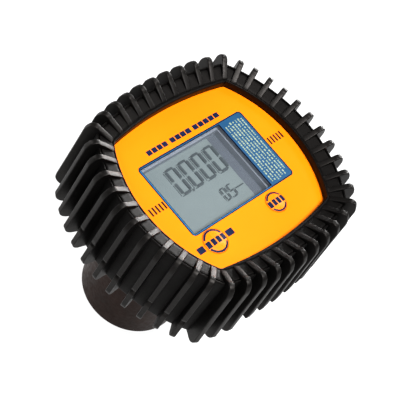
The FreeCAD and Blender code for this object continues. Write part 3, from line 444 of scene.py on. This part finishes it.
# painted highlight: light-blue line along the left and lower edges of the window opening, inside the panel
flat_piece("panel_painted_highlight", [rrect(WX0 - 0.48, WY0 - 0.3, WX0 - 0.16, WY1 - 0.6, 0.1, 2), rrect(WX0 + 0.1, WY0 - 0.36, WX1 - 0.6, WY0 - 0.12, 0.1, 2)], LZ + 0.045, M_PAINTED_HIGHLIGHT)
# dark printed edge of the window opening, down the thickness of the film
flat_piece("window_edge", [rrect(WX0 - 0.01, WY0 - 0.01, WX1 + 0.01, WY1 + 0.01, 0.5), rrect(WX0 + 0.16, WY0 + 0.16, WX1 - 0.16, WY1 - 0.16, 0.4)], LZ + 0.03, M_INK, thick=0.44)
# side ticks
ticks = []
for x_first in (-35.9, 30.2):
    for i in range(5):
        x = x_first + 1.71 * i
        ticks.append(rrect(x - 0.4, -0.2, x + 0.4, 3.0, 0.1, 2))
flat_piece("side_ticks", ticks, LZ + 0.03, M_TICK)
# heading bars
bars = []
for x0, x1, k in ((-19.9, -9.3, 4), (-7.5, 3.5, 4), (5.1, 19.3, 5)):
    wd = (x1 - x0 + 0.42) / k
    for i in range(k):
        bars.append(rrect(x0 + i * wd, 20.4, x0 + i * wd + wd - 0.42, 22.5, 0.25, 3))
flat_piece("heading_bars", bars, LZ + 0.03, M_INK)
# key caps: domed, with a rolled edge and a short skirt down to the switch, and the printed ring and blocks on them
def dome_z(cx, cy, x, y):
    return 75.15 + math.sqrt(400.0 - (x - cx) ** 2 - (y - cy) ** 2)
def key_cap(name, node_name, body, cx, cy, r):
    lo_, hi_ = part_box(node_name)
    rr = r - 0.02
    z_e = 75.15 + math.sqrt(400.0 - (rr - 0.3) ** 2)
    prof = [(0.0, 95.15)] + [(rr * k / 14 if rr * k / 14 < rr - 0.3 else None, 0) for k in range(1, 14)]
    prof = [(q, 75.15 + math.sqrt(400.0 - q * q)) for q, _ in prof if q is not None]
    for k in range(6):
        a = math.radians(90 - 18 * k)
        prof.append((rr - 0.3 + 0.3 * math.cos(a), z_e - 0.3 + 0.3 * math.sin(a)))
    prof += [(rr, 93.2), (rr, 92.2), (rr, 91.2), (rr - 0.2, 91.05)]
    bm = bmesh.new()
    seg_n = 72
    top = bm.verts.new((cx * MM, cy * MM, 95.15 * MM))
    prev = None
    for q, z in prof[1:]:
        ring = [bm.verts.new(((cx + q * math.cos(2 * math.pi * i / seg_n)) * MM, (cy + q * math.sin(2 * math.pi * i / seg_n)) * MM, z * MM)) for i in range(seg_n)]
        for i in range(seg_n):
            j = (i + 1) % seg_n
            bm.faces.new((top, ring[i], ring[j]) if prev is None else (prev[i], ring[i], ring[j], prev[j]))
        prev = ring
    bm.faces.new(list(reversed(prev)))
    for f in bm.faces:
        f.smooth = len(f.verts) < 5
    bmesh.ops.recalc_face_normals(bm, faces=bm.faces[:])
    me = bpy.data.meshes.new(name)
    bm.to_mesh(me); bm.free()
    o = bpy.data.objects.new(name, me)
    scene.collection.objects.link(o)
    paint(o, M_KEYCAP)
    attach(o, body)
    return o
def drape(name, loops, cx, cy, mat, body, lift=0.025):
    o = flat_piece(name, loops, 0.0, mat, body, 0.02)
    bm = bmesh.new(); bm.from_mesh(o.data)
    for cut in range(-12, 13):
        for nrm, at in (((1, 0, 0), cx + cut * 0.53), ((0, 1, 0), cy + cut * 0.53)):
            bmesh.ops.bisect_plane(bm, geom=bm.verts[:] + bm.edges[:] + bm.faces[:], plane_co=(at * MM, at * MM, 0), plane_no=nrm)
    bmesh.ops.remove_doubles(bm, verts=bm.verts[:], dist=5e-7)
    for v in bm.verts:
        v.co.z += (dome_z(cx, cy, v.co.x * 1000, v.co.y * 1000) + lift) * MM
    bm.to_mesh(o.data); bm.free()
    return o
KX, KY, CX, CY = -21.9, -20.1, 12.1, -20.3
cap_reset = key_cap("reset_cap", "reset_key", "reset_key", KX, KY, 5.1)
cap_cal = key_cap("cal_cap", "cal_key", "cal_key", CX, CY, 4.4)
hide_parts("reset_key")
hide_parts("cal_key")
drape("reset_ring", [arc_band(KX, KY, 4.12, 4.9, 22, 152), arc_band(KX, KY, 4.12, 4.9, 202, 332)], KX, KY, M_INK, "reset_key")
drape("reset_mark", [rrect(x0, -21.5, x1, -18.85, 0.25, 3) for x0, x1 in [(-26.6 + 2.52 * i, -26.6 + 2.52 * i + 1.93) for i in range(4)]], KX, KY, M_INK, "reset_key")
flat_piece("reset_side_marks", [rrect(-31.2, -21.5, -27.9, -18.85, 0.25, 3), rrect(-16.0, -21.5, -12.4, -18.85, 0.25, 3)], LZ + 0.03, M_INK)
drape("cal_ring", [arc_band(CX, CY, 3.55, 4.22, 28, 148), arc_band(CX, CY, 3.55, 4.22, 208, 330)], CX, CY, M_INK, "cal_key")
drape("cal_mark", [rrect(x0, -21.6, x1, -18.95, 0.25, 3) for x0, x1 in [(7.97 + 2.2 * i, 7.97 + 2.2 * i + 1.66) for i in range(4)]], CX, CY, M_INK, "cal_key")
# narrow pale dashes in the blue panel
dash = []
import random
rnd = random.Random(7)
for c in range(7):
    x = 17.75 + c * 1.5
    y = 16.6 - abs(c - 3.2) * 0.35 - rnd.random() * 0.9
    y_end = -12.2 - rnd.random() * 1.2 + (1.5 if c == 6 else 0)
    while y > y_end:
        l = 0.32 + rnd.random() * 0.85
        w_ = 0.26 + rnd.random() * 0.12
        dash.append(rrect(x - w_, y - l, x + w_, y, 0.08, 2))
        y -= l + (0.24 if rnd.random() < 0.72 else 0.62)
flat_piece("panel_dashes", dash, LZ + 0.05, M_PALE)

# ------------------------------------------------------------------ display
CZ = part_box("lcd_cell")[1].z / MM
SEGS = {"0": "abcdef", "5": "afgcd"}
def digit(ch, x, y, wd, ht, tk, lean=0.0):
    g_ = 0.12 * tk + 0.12
    x0, x1, y0, y1, ym = x, x + wd, y, y + ht, y + ht / 2
    out = []
    hseg = lambda yc: [(x0 + g_ + tk / 2, yc), (x0 + g_ + tk, yc + tk / 2), (x1 - g_ - tk, yc + tk / 2), (x1 - g_ - tk / 2, yc), (x1 - g_ - tk, yc - tk / 2), (x0 + g_ + tk, yc - tk / 2)]
    vseg = lambda xc, ya, yb: [(xc, ya + g_), (xc + tk / 2, ya + g_ + tk / 2), (xc + tk / 2, yb - g_ - tk / 2), (xc, yb - g_), (xc - tk / 2, yb - g_ - tk / 2), (xc - tk / 2, ya + g_ + tk / 2)]
    table = {"a": hseg(y1 - tk / 2), "d": hseg(y0 + tk / 2), "g": hseg(ym), "f": vseg(x0 + tk / 2, ym, y1 - tk / 2), "b": vseg(x1 - tk / 2, ym, y1 - tk / 2),
             "e": vseg(x0 + tk / 2, y0 + tk / 2, ym), "c": vseg(x1 - tk / 2, y0 + tk / 2, ym)}
    for s in SEGS[ch]:
        out.append([(px + (py - y0) * lean, py) for px, py in table[s]])
    return out
big, big_s = [], []
LEAN = 0.0
for i in range(4):
    big += digit("0", -15.75 + i * 6.97, 1.75, 5.2, 12.2, 1.0, LEAN)
    big_s += digit("0", -16.55 + i * 6.97, 1.6, 5.2, 12.2, 0.45, LEAN)
small = digit("0", -1.28, -8.85, 2.6, 5.6, 0.5, LEAN) + digit("5", 2.43, -8.85, 2.6, 5.6, 0.5, LEAN)
small_s = digit("0", -1.75, -8.95, 2.6, 5.6, 0.3, LEAN) + digit("5", 1.95, -8.95, 2.6, 5.6, 0.3, LEAN)
dots = [[(-10.7, 1.9), (-10.3, 2.4), (-9.95, 1.9), (-10.55, 0.95)], rrect(1.68, -8.85, 2.1, -8.4, 0.1, 2)]
unit = [rrect(5.4, -6.45, 6.9, -5.95, 0.1, 2), rrect(7.3, -6.45, 9.85, -5.95, 0.1, 2)]
flat_piece("lcd_digits", big + small + dots + unit, CZ + 0.6, M_SEG, thick=0.03)
flat_piece("lcd_digit_shadows", big_s + small_s, CZ + 0.06, M_GHOST, thick=0.03)
# painted shade: darker, bluish see-through strip on the right of the display glass, beyond the digits
M_PAINTED_SHADE = seg("lcd_side_painted_shade", 0.26, (0.070, 0.075, 0.115))
flat_piece("lcd_painted_shade_strip", [[(10.9, WY0 + 0.8), (WX1 - 0.8, WY0 + 0.8), (WX1 - 0.8, WY1 - 0.8), (10.9, WY1 - 0.8)]], CZ + 0.1, M_PAINTED_SHADE, thick=0.03)
# grey surround inside the window, from the cell up to the clear pane
flat_piece("window_sleeve", [rrect(WX0 + 0.25, WY0 + 0.25, WX1 - 0.25, WY1 - 0.25, 0.4), rrect(WX0 + 0.75, WY0 + 0.75, WX1 - 0.75, WY1 - 0.75, 0.4)], 92.18, M_SLEEVE, thick=92.18 - CZ - 0.02)

# ------------------------------------------------------------------ stage, light, camera
def floor():
    me = bpy.data.meshes.new("floor")
    s = 6.0
    me.from_pydata([(-s, -s, 0), (s, -s, 0), (s, s, 0), (-s, s, 0)], [], [(0, 1, 2, 3)])
    o = bpy.data.objects.new("floor", me)
    scene.collection.objects.link(o)
    o.location.z = -0.0002
    m, nt, bs = new_mat("floor_pale")
    v = coords(nt)
    nt.links.new(ramp(nt, noise(nt, v, 3, 2), [(0.3, 0.15), (0.7, 0.165)]), bs.inputs["Base Color"])
    bs.inputs["Roughness"].default_value = 0.9
    bs.inputs["Specular IOR Level"].default_value = 0.1
    bs.inputs["Emission Color"].default_value = (1, 1, 1, 1)
    bs.inputs["Emission Strength"].default_value = 0.80
    paint(o, m)
floor()
R = ((0.67547979, -0.63781362, 0.37002817), (-0.41902467, -0.74493813, -0.51911994), (0.60674986, 0.19560409, -0.77045029))
cam_d = bpy.data.cameras.new("camera")
cam = bpy.data.objects.new("camera", cam_d)
scene.collection.objects.link(cam)
cam_d.sensor_width = 36.0
cam_d.lens = 36.0 * 1318.154 / 400.0
cam_d.clip_start, cam_d.clip_end = 0.01, 20
X, Y, Z = Vector(R[0]), -Vector(R[1]), -Vector(R[2])
rot = Matrix((X, Y, Z)).transposed().to_4x4()
cam.matrix_world = Matrix.Translation(Vector((-309.206, -98.843, 369.955 + 98.0)) * MM) @ rot
scene.camera = cam

def area(name, where, size, power, target=(0, 0, 0.08), color=(1, 1, 1), size_y=None):
    l = bpy.data.lights.new(name, "AREA")
    l.energy = power
    l.color = color
    l.shape = "RECTANGLE" if size_y else "SQUARE"
    l.size = size
    if size_y:
        l.size_y = size_y
    o = bpy.data.objects.new(name, l)
    scene.collection.objects.link(o)
    o.location = where
    o.rotation_mode = "QUATERNION"
    o.rotation_quaternion = (Vector(target) - Vector(where)).to_track_quat("-Z", "Y")
    return o
C = Vector((0, 0, 0.08))
def from_cam(r, u, b, d):
    """a place round the object given along the camera's right, up and back axes"""
    return C + (X * r + Y * u + Z * b).normalized() * d
area("key_light", C + Vector((0.02, -0.28, 0.95)).normalized() * 0.9, 0.30, 14)
area("right_low", C + Vector((0.98, 0.20, 0.14)).normalized() * 0.9, 0.5, 11, size_y=0.12)
area("glare_card", C + Vector((0.74, 0.06, 0.67)).normalized() * 0.9, 0.16, 1.2)
area("left_strip", from_cam(-0.9, 0.9, 0.35, 0.8), 0.16, 3, size_y=0.7)
area("front_fill", from_cam(-0.1, -0.45, 0.9, 0.9), 0.16, 2)
w = bpy.data.worlds.new("studio")
w.use_nodes = True
scene.world = w
bg = w.node_tree.nodes["Background"]
bg.inputs["Color"].default_value = (1, 1, 1, 1)
bg.inputs["Strength"].default_value = 0.10
